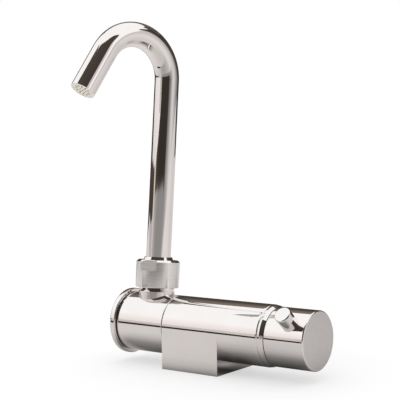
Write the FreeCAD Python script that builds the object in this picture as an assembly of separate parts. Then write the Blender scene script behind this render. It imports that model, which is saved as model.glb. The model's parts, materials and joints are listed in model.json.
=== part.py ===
import FreeCAD, Part
import math
import os

# A deck-mounted mixer tap whose spout folds down. A horizontal barrel stands on a square block.
# The left stretch of the barrel is a folding head that turns on a hollow journal and carries a
# swivelling gooseneck spout. The right end is a control knob on a ceramic mixing cartridge.
# Frame: millimetres, origin at the centre of the block's underside, +Z up, +X along the barrel
# towards the knob, -Y towards the user.

Vector = FreeCAD.Vector
UP = Vector(0, 0, 1)
SAME_POINT = 1e-6

# Clearances; a seal's groove is wider than the seal by this share
running_clearance = 0.05
seat_clearance = 0.03
axial_play = 0.05
groove_side_room = 0.25

# Block and barrel
barrel_dia = 36.0
axis_height = 23.5
block_length = 40.0
barrel_reach = 47.0
barrel_edge_round = 0.6

# Journal that the head folds on
head_wall = 6.0
journal_wall = 5.0
journal_bore_end = -8.0
journal_port_dia = 5.0
journal_drill_count = 2
journal_seal_section = 2.0
journal_seal_offset = 8.5

# Folding head
head_length = 34.0
head_edge_round = 0.3
seam_washer_thickness = 0.4
seam_washer_inset = 0.4
end_washer_thickness = 0.8
end_washer_inset = 0.3
fold_lean = 6.0
fold_each_way = 90.0
riser_inset = 18.45
water_ring_depth = 1.5
water_ring_width = 9.0

# Stop pin and its slot
stop_pin_dia = 3.0
stop_pin_seat = 6.0
stop_pin_engagement = 3.0
stop_slot_clearance = 0.25
stop_slot_spare = 0.5

# End cap and the spring behind it
flange_overhang = 2.0
flange_width = 4.0
flange_outer_round = 1.4
flange_inner_round = 0.4
cap_thread_step = 2.0
cap_thread_length = 5.5
cap_nose_length = 5.0
cap_seal_section = 1.6
cap_key_width = 8.0
cap_key_sides = 6
cap_key_depth = 3.5
spring_recess_depth = 1.4
spring_thickness = 0.7
spring_width = 4.0
spring_clearance = 0.4

# Boss and union nut
boss_rise = 3.7
boss_step = 0.5
boss_thread_wall = 1.5
boss_thread_length = 9.0
boss_bore_depth = 15.0
boss_port_dia = 10.0
boss_edge_round = 0.5
boss_neck_height = 2.4
boss_neck_taper = 0.22
nut_wall = 2.8
nut_height = 16.8
nut_collar_height = 1.8
nut_collar_wall = 0.5
nut_collar_slope = 0.7
nut_chamfer = 1.2
nut_foot_round = 0.4
nut_tube_clearance = 0.4
nut_flat_depth = 1.1
nut_flat_height = 6.6
nut_turn = 10.0
boss_washer_thickness = 1.0
nut_ring_thickness = 0.8

# Spout; the bend starts this far along the riser from the barrel axis
tube_dia = 15.0
tube_wall = 1.0
bend_start = 149.0
bend_radius = 25.0
bend_angle = 150.5
outlet_leg = 29.0
swivel_rest = -15.0
tail_length = 14.5
tail_wall = 1.5
tail_bore_step = 1.0
tail_flange_gap = 0.5
tail_flange_thickness = 2.0
tube_socket_depth = 6.0
tail_seal_section = 1.6
tail_seal_first = 3.0
tail_seal_pitch = 4.0
tail_seal_count = 2

# Aerator
aerator_recess = 0.3
aerator_face_thickness = 1.6
aerator_wall = 0.9
aerator_depth = 9.0
slot_count = 12
slot_width = 0.9
slot_length = 2.0
slot_rim = 1.17
jet_dia = 1.1
jet_spacing = 1.3
jet_count = 6
strainer_thickness = 0.5
strainer_hole_dia = 1.0
strainer_rings = 3
strainer_ring_pitch = 1.7
strainer_holes_per_ring = 6
aerator_seal_thickness = 1.2
aerator_seal_width = 1.4

# Cartridge chamber and waterways
chamber_wall = 4.0
chamber_depth = 37.0
port_dia = 6.0
inlet_drill_dia = 6.4
inlet_thread_dia = 8.92
inlet_thread_depth = 11.0
inlet_margin = 6.6
inlet_port_drop = 4.25
outlet_port_rise = 6.5
outlet_port_overlap = 4.0

# Fixings in the underside
stud_thread_dia = 5.0
stud_depth = 7.0
stud_inset = 8.0
base_seal_inset = 2.0
base_seal_width = 2.4
base_seal_depth = 1.8
base_seal_clearance = 0.05

# Cartridge
cartridge_base_thickness = 5.0
port_seal_dia = 8.4
port_seal_thickness = 1.2
disc_thickness = 3.0
fixed_disc_gap = 0.5
disc_port_dia = 4.8
moving_disc_gap = 1.5
mixing_pocket_depth = 1.8
mixing_pocket_width = 5.1
mixing_pocket_rim = 0.9
mixing_pocket_sweep = 200.0
carrier_gap = 1.2
carrier_thickness = 4.0
drive_pin_dia = 2.4
drive_pin_length = 1.5
drive_pin_radius = 7.5
housing_reach = 23.0
housing_side_wall = 2.0
housing_end_wall = 2.0
neck_dia = 16.0
neck_length = 8.0
cartridge_nut_length = 10.0
nut_neck_clearance = 0.3
nut_slot_width = 3.0
nut_slot_depth = 2.0
spindle_dia = 10.0
spindle_foot_dia = 16.0
spindle_tongue_width = 4.0
spindle_tongue_length = 12.0
spindle_tongue_depth = 2.5
spindle_seal_section = 1.6
spindle_seal_place = 4.0
drive_end_dia = 8.0

# Collar and knob
collar_inset = 0.3
collar_width = 3.4
collar_wall = 4.0
collar_edge_round = 0.3
collar_slope_length = 2.0
collar_slope_drop = 1.1
collar_spigot_gap = 0.2
knob_gap = 0.6
knob_inset = 0.9
knob_length = 25.6
knob_front_round = 0.4
knob_end_round = 0.8
knob_wall = 2.7
knob_cavity_depth = 7.0
insert_dia = 14.0
insert_length = 12.0
spindle_end_gap = 1.5
peg_dia = 9.5
peg_length = 10.1
peg_tip_round = 0.8
peg_inset = 15.2
peg_angle = 51.0
peg_seat_depth = 1.7
peg_stem_dia = 5.0
peg_stem_margin = 1.5
grub_dia = 4.0
grub_length = 8.0

# Radii about the barrel axis
barrel_radius = barrel_dia / 2
journal_radius = barrel_radius - head_wall
journal_bore_radius = journal_radius - journal_wall
head_bore_radius = journal_radius + running_clearance
stop_radius = (journal_radius + barrel_radius) / 2
flange_radius = barrel_radius + flange_overhang
cap_thread_radius = journal_bore_radius + cap_thread_step
chamber_radius = barrel_radius - chamber_wall
housing_cavity_radius = chamber_radius - housing_side_wall
fixed_disc_radius = housing_cavity_radius - fixed_disc_gap
moving_disc_radius = housing_cavity_radius - moving_disc_gap
carrier_radius = housing_cavity_radius - carrier_gap
mixing_pocket_outer = moving_disc_radius - mixing_pocket_rim
mixing_pocket_inner = mixing_pocket_outer - mixing_pocket_width
collar_radius = barrel_radius - collar_inset
collar_bore_radius = chamber_radius - collar_wall
knob_radius = barrel_radius - knob_inset
knob_cavity_radius = knob_radius - knob_wall
insert_radius = insert_dia / 2
peg_seat_radius = knob_radius - peg_seat_depth
peg_stem_end = insert_radius + peg_stem_margin
peg_reach = knob_radius + peg_length

# Radii about the riser
tube_radius = tube_dia / 2
tube_bore_radius = tube_radius - tube_wall
tail_bore_radius = tube_bore_radius - tail_bore_step
boss_bore_radius = tube_radius + tail_wall
boss_thread_radius = boss_bore_radius + boss_thread_wall
boss_radius = boss_thread_radius + boss_step
boss_neck_radius = boss_thread_radius + boss_neck_taper
tail_flange_radius = boss_thread_radius - tail_flange_gap
nut_radius = boss_thread_radius + nut_wall
nut_hole_radius = tube_radius + nut_tube_clearance
nut_collar_radius = nut_hole_radius + nut_collar_wall

# Places along the barrel
block_right = block_length / 2
body_left = -block_length / 2
head_right = body_left - seam_washer_thickness - axial_play
head_left = head_right - head_length
cap_inner = head_left - axial_play - end_washer_thickness
cap_outer = cap_inner - flange_width
cap_thread_end = cap_inner + cap_thread_length
cap_nose_end = cap_thread_end + cap_nose_length
riser_x = head_right - riser_inset
chamber_floor = barrel_reach - chamber_depth
base_right = chamber_floor + cartridge_base_thickness
fixed_disc_right = base_right + disc_thickness
moving_disc_left = fixed_disc_right + axial_play
carrier_left = moving_disc_left + disc_thickness
carrier_right = carrier_left + carrier_thickness
housing_shoulder = chamber_floor + housing_reach
housing_wall = housing_shoulder - housing_end_wall
neck_end = housing_shoulder + neck_length
cartridge_nut_right = housing_shoulder + cartridge_nut_length
collar_right = barrel_reach + collar_width
knob_left = collar_right + knob_gap
knob_right = knob_left + knob_length
knob_floor = knob_left + knob_cavity_depth
insert_right = knob_floor + insert_length
peg_x = knob_left + peg_inset

# Places along the riser, from the barrel axis
boss_height = barrel_radius + boss_rise
boss_neck_foot = boss_height - boss_neck_height
boss_top = boss_height + boss_thread_length
boss_floor = boss_top - boss_bore_depth
tail_flange_under = boss_top + boss_washer_thickness + axial_play
tail_flange_top = tail_flange_under + tail_flange_thickness
nut_ring_under = tail_flange_top + axial_play
nut_lip_under = nut_ring_under + nut_ring_thickness
nut_top = boss_height + nut_height
tube_start = tail_flange_top - tube_socket_depth
tail_bottom = tail_flange_under - tail_length
tail_seal_places = [
    tail_bottom + tail_seal_first + tail_seal_pitch * step for step in range(tail_seal_count)]

# Places of the water ports around the barrel axis, as (y, z) offsets
outlet_port = (0.0, outlet_port_rise)
inlet_ports = [(side * (chamber_radius - inlet_margin), -inlet_port_drop) for side in (-1, 1)]

# Local frames: each piece is turned about its own +Z axis, then put in place
on_barrel = FreeCAD.Placement(Vector(0, 0, axis_height), FreeCAD.Rotation(Vector(0, 1, 0), 90))
tilt = FreeCAD.Placement(
    Vector(0, 0, 0), FreeCAD.Rotation(Vector(1, 0, 0), -fold_lean), Vector(0, 0, axis_height))
on_riser = tilt.multiply(FreeCAD.Placement(Vector(riser_x, 0, axis_height), FreeCAD.Rotation()))
forward = Vector(math.sin(math.radians(swivel_rest)), -math.cos(math.radians(swivel_rest)), 0)


def put(shape, placement):
    """The shape carried into place, with its geometry moved."""
    return shape.transformed(placement.toMatrix(), True)


def outline(points):
    """Closed wire through (along, radius) points; a third number rounds that corner."""
    corners = [Vector(point[1], 0, point[0]) for point in points]
    edges = []
    leaves = []
    entries = []
    for index, point in enumerate(points):
        here = corners[index]
        size = point[2] if len(point) > 2 else 0.0
        if size == 0.0:
            entries.append(here)
            leaves.append(here)
            continue
        before = (corners[index - 1] - here).normalize()
        after = (corners[(index + 1) % len(points)] - here).normalize()
        half = before.getAngle(after) / 2
        entry = here + before * (size / math.tan(half))
        leave = here + after * (size / math.tan(half))
        middle = here + (before + after).normalize() * (size / math.sin(half) - size)
        edges.append(Part.Arc(entry, middle, leave).toShape())
        entries.append(entry)
        leaves.append(leave)
    for index in range(len(points)):
        start = leaves[index]
        end = entries[(index + 1) % len(points)]
        if start.distanceToPoint(end) > SAME_POINT:
            edges.append(Part.makeLine(start, end))
    return Part.Wire(Part.__sortEdges__(edges))


def turned(points, sweep=360.0):
    """Solid turned about +Z from (along, radius) points, centred on local +X if it is a part turn."""
    solid = Part.Face(outline(points)).revolve(Vector(), UP, sweep)
    if sweep < 360.0:
        solid.rotate(Vector(), UP, -sweep / 2)
    return solid


def rod(radius, start, end):
    """Plain round bar along +Z."""
    return Part.makeCylinder(radius, end - start, Vector(0, 0, start))


def ring(outer, inner, start, end):
    """Plain ring along +Z."""
    return turned([(start, inner), (start, outer), (end, outer), (end, inner)])


def seal_ring(outer_radius, section, place):
    """Round-section sealing ring whose outside has the given radius."""
    return Part.makeTorus(outer_radius - section / 2, section / 2, Vector(0, 0, place))


def seal_groove(outer_radius, section, place, surface_radius):
    """Cutter for the groove of such a ring, down from the given surface."""
    half_width = section * (1 + groove_side_room) / 2
    floor = outer_radius - section - seat_clearance
    return ring(surface_radius + section, floor, place - half_width, place + half_width)


def at_port(shape, port):
    """The turned shape moved sideways to a (y, z) port and put along the barrel."""
    moved = shape.copy()
    moved.translate(Vector(-port[1], port[0], 0))
    return put(moved, on_barrel)


def around_barrel(shape, angle, along):
    """The turned shape standing radially on the barrel axis, leaning from +Z towards the user."""
    spin = FreeCAD.Rotation(Vector(1, 0, 0), angle)
    return put(shape, FreeCAD.Placement(Vector(along, 0, axis_height), spin))


def upright(shape, x, y):
    """The turned shape standing on the underside at (x, y)."""
    return put(shape, FreeCAD.Placement(Vector(x, y, 0), FreeCAD.Rotation()))


def frame_bar(inset, width, low, high):
    """Rectangular ring that follows the block's outline, set in from it."""
    half_x = block_length / 2 - inset
    half_y = barrel_radius - inset
    outer = Part.makeBox(2 * half_x, 2 * half_y, high - low, Vector(-half_x, -half_y, low))
    half_x = half_x - width
    half_y = half_y - width
    inner = Part.makeBox(2 * half_x, 2 * half_y, high - low, Vector(-half_x, -half_y, low))
    return outer.cut(inner)


def journal_seal_radius():
    return head_bore_radius - seat_clearance


def journal_seal_places():
    return [riser_x + side * journal_seal_offset for side in (-1, 1)]


def valve_body():
    """Block and barrel in one casting, with the journal, the chamber, waterways and fixing holes."""
    low_left = Vector(body_left, -barrel_radius, 0)
    low_right = Vector(body_left, barrel_radius, 0)
    side_right = Vector(body_left, barrel_radius, axis_height)
    side_left = Vector(body_left, -barrel_radius, axis_height)
    crown = Vector(body_left, 0, axis_height + barrel_radius)
    edges = [
        Part.makeLine(low_left, low_right),
        Part.makeLine(low_right, side_right),
        Part.Arc(side_right, crown, side_left).toShape(),
        Part.makeLine(side_left, low_left),
    ]
    block = Part.Face(Part.Wire(edges)).extrude(Vector(block_length, 0, 0))
    barrel = put(turned([
        (block_right, 0.0),
        (block_right, barrel_radius),
        (barrel_reach, barrel_radius, barrel_edge_round),
        (barrel_reach, 0.0),
    ]), on_barrel)
    journal = put(rod(journal_radius, cap_inner, body_left), on_barrel)
    body = block.fuse([barrel, journal]).removeSplitter()

    port_radius = port_dia / 2
    cuts = [
        put(rod(chamber_radius, chamber_floor, barrel_reach), on_barrel),
        put(rod(journal_bore_radius, cap_inner, journal_bore_end), on_barrel),
        put(rod(cap_thread_radius, cap_inner, cap_thread_end), on_barrel),
        at_port(rod(port_radius, journal_bore_end - outlet_port_overlap, chamber_floor), outlet_port),
        at_port(rod(stop_pin_dia / 2 + seat_clearance, body_left, body_left + stop_pin_seat),
                (0.0, -stop_radius)),
        frame_bar(base_seal_inset, base_seal_width, 0.0, base_seal_depth),
    ]
    for port in inlet_ports:
        cuts.append(at_port(rod(port_radius, 0.0, chamber_floor), port))
        drill_top = axis_height + port[1] + inlet_drill_dia / 2
        cuts.append(upright(rod(inlet_drill_dia / 2, 0.0, drill_top), 0.0, port[0]))
        cuts.append(upright(rod(inlet_thread_dia / 2, 0.0, inlet_thread_depth), 0.0, port[0]))
    for side in (-1, 1):
        stud_x = side * (block_length / 2 - stud_inset)
        cuts.append(upright(rod(stud_thread_dia / 2, 0.0, stud_depth), stud_x, 0.0))
    for place in journal_seal_places():
        groove = seal_groove(journal_seal_radius(), journal_seal_section, place, journal_radius)
        cuts.append(put(groove, on_barrel))
    drill = rod(journal_port_dia / 2, -head_bore_radius, head_bore_radius)
    for step in range(journal_drill_count):
        cuts.append(around_barrel(drill, 180.0 * step / journal_drill_count, riser_x))
    return body.cut(cuts)


def base_seal():
    """Rubber cord in the groove of the underside, pressed on the worktop."""
    inset = base_seal_inset + base_seal_clearance
    width = base_seal_width - 2 * base_seal_clearance
    return frame_bar(inset, width, base_seal_clearance, base_seal_depth)


def stop_pin():
    """Pin in the barrel's left face that ends the fold in the head's slot."""
    reach = head_right - stop_pin_engagement
    return at_port(rod(stop_pin_dia / 2, reach, body_left + stop_pin_seat), (0.0, -stop_radius))


def fold_washer(outer_radius, start, thickness):
    """Slip washer beside the head, round the journal."""
    inner = journal_radius + spring_clearance
    return put(ring(outer_radius, inner, start, start + thickness), on_barrel)


def seam_washer():
    """Thin slip washer between head and barrel, with the stop pin through it."""
    start = body_left - seam_washer_thickness
    hole = rod(stop_pin_dia / 2 + stop_slot_clearance, start, body_left)
    washer = fold_washer(barrel_radius - seam_washer_inset, start, seam_washer_thickness)
    return washer.cut(at_port(hole, (0.0, -stop_radius)))


def end_washer():
    """Slip washer between head and end cap, just below the head's surface, where it shows as a dark line."""
    return fold_washer(barrel_radius - end_washer_inset, cap_inner, end_washer_thickness)


def spring_inner_radius():
    return journal_radius + spring_clearance


def disc_spring():
    """Coned spring that presses the end washer on the head and holds the spout where it is put."""
    inner = spring_inner_radius()
    outer = inner + spring_width
    low = cap_inner - spring_recess_depth
    cone = [
        (low, inner),
        (low + spring_thickness, inner),
        (cap_inner, outer),
        (cap_inner - spring_thickness, outer),
    ]
    return put(turned(cone), on_barrel)


def cap_seal_place():
    return (cap_thread_end + cap_nose_end) / 2


def end_cap():
    """Flanged plug that screws into the journal's end and keeps the head on."""
    nose_radius = journal_bore_radius - seat_clearance
    thread_radius = cap_thread_radius - seat_clearance
    profile = [
        (cap_outer, 0.0),
        (cap_outer, flange_radius, flange_outer_round),
        (cap_inner, flange_radius, flange_inner_round),
        (cap_inner, thread_radius),
        (cap_thread_end, thread_radius),
        (cap_thread_end, nose_radius),
        (cap_nose_end, nose_radius),
        (cap_nose_end, 0.0),
    ]
    recess_inner = spring_inner_radius() - spring_clearance / 2
    recess_outer = spring_inner_radius() + spring_width + spring_clearance
    recess = ring(recess_outer, recess_inner, cap_inner - spring_recess_depth, cap_inner)
    groove = seal_groove(nose_radius, cap_seal_section, cap_seal_place(), nose_radius)
    side_turn = 2 * math.pi / cap_key_sides
    key_corner = cap_key_width / 2 / math.cos(side_turn / 2)
    hexagon = Part.makePolygon([
        Vector(key_corner * math.cos(side_turn * step), key_corner * math.sin(side_turn * step), cap_outer)
        for step in range(cap_key_sides + 1)])
    key = Part.Face(hexagon).extrude(Vector(0, 0, cap_key_depth))
    return put(turned(profile).cut([recess, groove, key]), on_barrel)


def end_cap_seal():
    """Sealing ring on the end cap's nose."""
    nose_radius = journal_bore_radius - seat_clearance
    return put(seal_ring(nose_radius, cap_seal_section, cap_seal_place()), on_barrel)


def journal_seals():
    """Two sealing rings on the journal, one each side of the water ports."""
    seals = [seal_ring(journal_seal_radius(), journal_seal_section, place) for place in journal_seal_places()]
    return Part.makeCompound([put(seal, on_barrel) for seal in seals])


def folding_head():
    """Left stretch of the barrel with the spout's boss, necked below its thread, leaned back as at rest."""
    sleeve = put(turned([
        (head_left, 0.0),
        (head_left, barrel_radius, head_edge_round),
        (head_right, barrel_radius, head_edge_round),
        (head_right, 0.0),
    ]), on_barrel)
    stand = FreeCAD.Placement(Vector(riser_x, 0, axis_height), FreeCAD.Rotation())
    boss = put(turned([
        (0.0, 0.0),
        (0.0, boss_radius),
        (boss_neck_foot, boss_radius),
        (boss_neck_foot, boss_neck_radius),
        (boss_height, boss_thread_radius),
        (boss_top, boss_thread_radius, boss_edge_round),
        (boss_top, 0.0),
    ]), stand)
    half_ring = water_ring_width / 2
    slot_half = stop_pin_dia / 2 + stop_slot_clearance
    slot_start = head_right - stop_pin_engagement - stop_slot_spare
    slot_end = head_right + stop_slot_spare
    slot = put(turned([
        (slot_start, stop_radius - slot_half),
        (slot_start, stop_radius + slot_half),
        (slot_end, stop_radius + slot_half),
        (slot_end, stop_radius - slot_half),
    ], 2 * fold_each_way), on_barrel)
    cuts = [
        put(rod(head_bore_radius, head_left, head_right), on_barrel),
        put(rod(head_bore_radius + water_ring_depth, riser_x - half_ring, riser_x + half_ring), on_barrel),
        put(rod(boss_bore_radius, boss_floor, boss_top), stand),
        put(rod(boss_port_dia / 2, 0.0, boss_floor), stand),
        slot,
    ]
    for side in (-1, 1):
        end = math.radians(side * fold_each_way)
        place = (stop_radius * math.sin(end), -stop_radius * math.cos(end))
        cuts.append(at_port(rod(slot_half, slot_start, slot_end), place))
    return put(sleeve.fuse(boss).removeSplitter().cut(cuts), tilt)


def union_nut():
    """Round nut with two spanner flats and a coned collar that holds the spout's tail down on the boss."""
    thread_radius = boss_thread_radius + running_clearance
    nut = turned([
        (boss_height, thread_radius),
        (boss_height, nut_radius, nut_foot_round),
        (nut_top - nut_chamfer, nut_radius),
        (nut_top, nut_radius - nut_chamfer),
        (nut_top, nut_collar_radius + nut_collar_slope),
        (nut_top + nut_collar_height, nut_collar_radius),
        (nut_top + nut_collar_height, nut_hole_radius),
        (nut_lip_under, nut_hole_radius),
        (nut_lip_under, thread_radius),
    ])
    flats = []
    for side in (-1, 1):
        middle = side * (2 * nut_radius - nut_flat_depth)
        flats.append(Part.makeBox(
            2 * nut_radius, 2 * nut_radius, nut_flat_height,
            Vector(-nut_radius, middle - nut_radius, nut_top - nut_flat_height)))
    nut = nut.cut(flats)
    nut.rotate(Vector(), UP, nut_turn)
    return put(nut, on_riser)


def boss_washer():
    """Slip washer under the tail's flange."""
    washer = ring(tail_flange_radius, boss_bore_radius, boss_top, boss_top + boss_washer_thickness)
    return put(washer, on_riser)


def nut_ring():
    """Slip ring between the tail's flange and the nut's lip."""
    return put(ring(tail_flange_radius, nut_hole_radius, nut_ring_under, nut_lip_under), on_riser)


def tail_seal_radius():
    return boss_bore_radius - seat_clearance


def spout_tail():
    """Turned foot soldered on the tube, which swivels in the boss."""
    plug_radius = boss_bore_radius - running_clearance
    socket_radius = tube_radius + seat_clearance
    tail = turned([
        (tail_bottom, tail_bore_radius),
        (tail_bottom, plug_radius),
        (tail_flange_under, plug_radius),
        (tail_flange_under, tail_flange_radius),
        (tail_flange_top, tail_flange_radius),
        (tail_flange_top, socket_radius),
        (tube_start, socket_radius),
        (tube_start, tail_bore_radius),
    ])
    grooves = [
        seal_groove(tail_seal_radius(), tail_seal_section, place, plug_radius) for place in tail_seal_places]
    return put(tail.cut(grooves), on_riser)


def spout_seals():
    """Two sealing rings on the spout's tail."""
    seals = [seal_ring(tail_seal_radius(), tail_seal_section, place) for place in tail_seal_places]
    return Part.makeCompound([put(seal, on_riser) for seal in seals])


def outlet_direction():
    turn = math.radians(bend_angle)
    return forward * math.sin(turn) + UP * math.cos(turn)


def bend_end():
    turn = math.radians(bend_angle)
    centre = forward * bend_radius + UP * bend_start
    return centre - forward * (bend_radius * math.cos(turn)) + UP * (bend_radius * math.sin(turn))


def on_outlet():
    """Frame of the outlet: +Z runs out of the spout with the water."""
    place = bend_end() + outlet_direction() * outlet_leg
    return on_riser.multiply(FreeCAD.Placement(place, FreeCAD.Rotation(UP, outlet_direction())))


def spout_tube():
    """Straight riser, one bend and a short outlet leg of thin round tube."""
    riser = ring(tube_radius, tube_bore_radius, tube_start, bend_start)
    top = Vector(0, 0, bend_start)
    section = Part.Face([
        Part.Wire(Part.makeCircle(tube_radius, top)), Part.Wire(Part.makeCircle(tube_bore_radius, top))])
    centre = forward * bend_radius + top
    bend = section.revolve(centre, UP.cross(forward), bend_angle)
    leg = put(
        ring(tube_radius, tube_bore_radius, 0.0, outlet_leg),
        FreeCAD.Placement(bend_end(), FreeCAD.Rotation(UP, outlet_direction())))
    return put(riser.fuse([bend, leg]).removeSplitter(), on_riser)


def aerator_radius():
    return tube_bore_radius - seat_clearance


def aerator_back():
    return -aerator_recess - aerator_depth


def aerator_insert():
    """Cup in the spout's end whose face has radial slots and a ring of jets."""
    face_under = -aerator_recess - aerator_face_thickness
    cup = turned([
        (face_under, 0.0),
        (face_under, aerator_radius() - aerator_wall),
        (aerator_back(), aerator_radius() - aerator_wall),
        (aerator_back(), aerator_radius()),
        (-aerator_recess, aerator_radius()),
        (-aerator_recess, 0.0),
    ])
    slot_outer_radius = aerator_radius() - slot_rim
    slot_inner_radius = slot_outer_radius - slot_length
    jet_circle_radius = slot_inner_radius - jet_spacing
    cuts = [rod(jet_dia / 2, face_under, 0.0)]
    for step in range(jet_count):
        angle = 2 * math.pi * step / jet_count
        jet = rod(jet_dia / 2, face_under, 0.0)
        jet.translate(Vector(jet_circle_radius * math.cos(angle), jet_circle_radius * math.sin(angle), 0))
        cuts.append(jet)
    for step in range(slot_count):
        slot = Part.makeBox(
            slot_length, slot_width, aerator_face_thickness + aerator_recess,
            Vector(slot_inner_radius, -slot_width / 2, face_under))
        slot.rotate(Vector(), UP, 360.0 * step / slot_count)
        cuts.append(slot)
    return put(cup.cut(cuts), on_outlet())


def aerator_strainer():
    """Perforated disc that keeps grit out of the aerator."""
    disc = rod(aerator_radius(), aerator_back() - strainer_thickness, aerator_back())
    hole = rod(strainer_hole_dia / 2, aerator_back() - strainer_thickness, aerator_back())
    cuts = [hole]
    for lap in range(1, strainer_rings):
        count = strainer_holes_per_ring * lap
        for step in range(count):
            angle = 2 * math.pi * step / count
            copy = hole.copy()
            copy.translate(Vector(math.cos(angle), math.sin(angle), 0) * (lap * strainer_ring_pitch))
            cuts.append(copy)
    return put(disc.cut(cuts), on_outlet())


def aerator_seal():
    """Rubber ring behind the strainer."""
    front = aerator_back() - strainer_thickness
    inner = aerator_radius() - aerator_seal_width
    return put(ring(aerator_radius(), inner, front - aerator_seal_thickness, front), on_outlet())


def cartridge_ports():
    return [outlet_port] + inlet_ports


def cartridge_base():
    """Lower plate of the cartridge with its three water ports and seal pockets."""
    base = put(rod(chamber_radius - seat_clearance, chamber_floor, base_right), on_barrel)
    cuts = []
    for port in cartridge_ports():
        cuts.append(at_port(rod(disc_port_dia / 2, chamber_floor, base_right), port))
        pocket_end = chamber_floor + port_seal_thickness
        cuts.append(at_port(rod(port_seal_dia / 2 + seat_clearance, chamber_floor, pocket_end), port))
    return base.cut(cuts)


def cartridge_seals():
    """Rubber rings between the chamber's floor and the cartridge's ports."""
    seal = ring(port_seal_dia / 2, port_dia / 2, chamber_floor, chamber_floor + port_seal_thickness)
    return Part.makeCompound([at_port(seal, port) for port in cartridge_ports()])


def fixed_disc():
    """Lower ceramic disc, which stays still."""
    disc = put(rod(fixed_disc_radius, base_right, fixed_disc_right), on_barrel)
    hole = rod(disc_port_dia / 2, base_right, fixed_disc_right)
    return disc.cut([at_port(hole, port) for port in cartridge_ports()])


def drive_pins(radius):
    """The two pins that take the moving disc along."""
    pins = []
    for side in (-1, 1):
        pin = rod(radius, carrier_left - drive_pin_length, carrier_left)
        pins.append(at_port(pin, (side * drive_pin_radius, 0.0)))
    return pins


def moving_disc():
    """Upper ceramic disc, whose pocket joins the inlets to the outlet as it turns."""
    disc = put(rod(moving_disc_radius, moving_disc_left, carrier_left), on_barrel)
    pocket_end = moving_disc_left + mixing_pocket_depth
    pocket = put(turned([
        (moving_disc_left, mixing_pocket_inner),
        (moving_disc_left, mixing_pocket_outer),
        (pocket_end, mixing_pocket_outer),
        (pocket_end, mixing_pocket_inner),
    ], mixing_pocket_sweep), on_barrel)
    pocket.rotate(Vector(0, 0, axis_height), Vector(1, 0, 0), 180)
    return disc.cut([pocket] + drive_pins(drive_pin_dia / 2 + seat_clearance))


def spindle_tongue(clearance):
    """Flat tongue on the spindle's foot that turns the carrier."""
    width = spindle_tongue_width + 2 * clearance
    length = spindle_tongue_length + 2 * clearance
    corner = Vector(-width / 2, -length / 2, carrier_right - spindle_tongue_depth)
    return put(Part.makeBox(width, length, spindle_tongue_depth, corner), on_barrel)


def disc_carrier():
    """Plastic driver between the spindle and the moving disc."""
    carrier = put(rod(carrier_radius, carrier_left, carrier_right), on_barrel)
    return carrier.fuse(drive_pins(drive_pin_dia / 2)).cut(spindle_tongue(seat_clearance))


def spindle_seal_radius():
    return spindle_dia / 2 + running_clearance - seat_clearance


def spindle_seal_along():
    return housing_shoulder + spindle_seal_place


def spindle_end():
    return insert_right - spindle_end_gap


def spindle():
    """Brass spindle from the disc carrier out to the knob."""
    shaft = put(turned([
        (carrier_right, 0.0),
        (carrier_right, spindle_foot_dia / 2),
        (housing_wall - axial_play, spindle_foot_dia / 2),
        (housing_wall - axial_play, spindle_dia / 2),
        (neck_end, spindle_dia / 2),
        (neck_end, drive_end_dia / 2),
        (spindle_end(), drive_end_dia / 2),
        (spindle_end(), 0.0),
    ]), on_barrel)
    groove = seal_groove(spindle_seal_radius(), spindle_seal_section, spindle_seal_along(), spindle_dia / 2)
    return shaft.fuse(spindle_tongue(0.0)).cut(put(groove, on_barrel))


def spindle_seal():
    """Sealing ring on the spindle, inside the neck."""
    return put(seal_ring(spindle_seal_radius(), spindle_seal_section, spindle_seal_along()), on_barrel)


def cartridge_housing():
    """Plastic shell of the cartridge with the spindle's neck."""
    return put(turned([
        (base_right, housing_cavity_radius),
        (base_right, chamber_radius - seat_clearance),
        (housing_shoulder, chamber_radius - seat_clearance),
        (housing_shoulder, neck_dia / 2),
        (neck_end, neck_dia / 2),
        (neck_end, spindle_dia / 2 + running_clearance),
        (housing_wall, spindle_dia / 2 + running_clearance),
        (housing_wall, housing_cavity_radius),
    ]), on_barrel)


def cartridge_nut():
    """Threaded ring that keeps the cartridge in its chamber."""
    inner = neck_dia / 2 + nut_neck_clearance
    nut = ring(chamber_radius - seat_clearance, inner, housing_shoulder, cartridge_nut_right)
    slot = Part.makeBox(
        nut_slot_width, 2 * chamber_radius, nut_slot_depth,
        Vector(-nut_slot_width / 2, -chamber_radius, cartridge_nut_right - nut_slot_depth))
    return put(nut.cut(slot), on_barrel)


def trim_collar():
    """Plated ring that closes the barrel's end beside the knob."""
    spigot_radius = chamber_radius - seat_clearance
    spigot_left = cartridge_nut_right + collar_spigot_gap
    return put(turned([
        (spigot_left, collar_bore_radius),
        (spigot_left, spigot_radius),
        (barrel_reach, spigot_radius),
        (barrel_reach, collar_radius, collar_edge_round),
        (collar_right - collar_slope_length, collar_radius),
        (collar_right, collar_radius - collar_slope_drop),
        (collar_right, collar_bore_radius),
    ]), on_barrel)


def grub_start():
    return drive_end_dia / 2 + running_clearance


def grub_hole(radius, end):
    """Radial hole opposite the peg, from the spindle outwards."""
    return around_barrel(rod(radius, 0.0, end), peg_angle + 180.0, peg_x)


def knob_shell():
    """Plain round control knob with a seat for the peg."""
    knob = put(turned([
        (knob_floor, 0.0),
        (knob_floor, knob_cavity_radius),
        (knob_left, knob_cavity_radius),
        (knob_left, knob_radius, knob_front_round),
        (knob_right, knob_radius, knob_end_round),
        (knob_right, 0.0),
    ]), on_barrel)
    stem_hole_end = peg_stem_end - seat_clearance
    cuts = [
        put(rod(insert_radius, knob_floor, insert_right), on_barrel),
        around_barrel(rod(peg_stem_dia / 2 + seat_clearance, stem_hole_end, knob_radius), peg_angle, peg_x),
        around_barrel(rod(peg_dia / 2 + seat_clearance, peg_seat_radius, peg_reach), peg_angle, peg_x),
        grub_hole(grub_dia / 2 + seat_clearance, knob_radius + grub_dia),
    ]
    return knob.cut(cuts)


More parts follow.
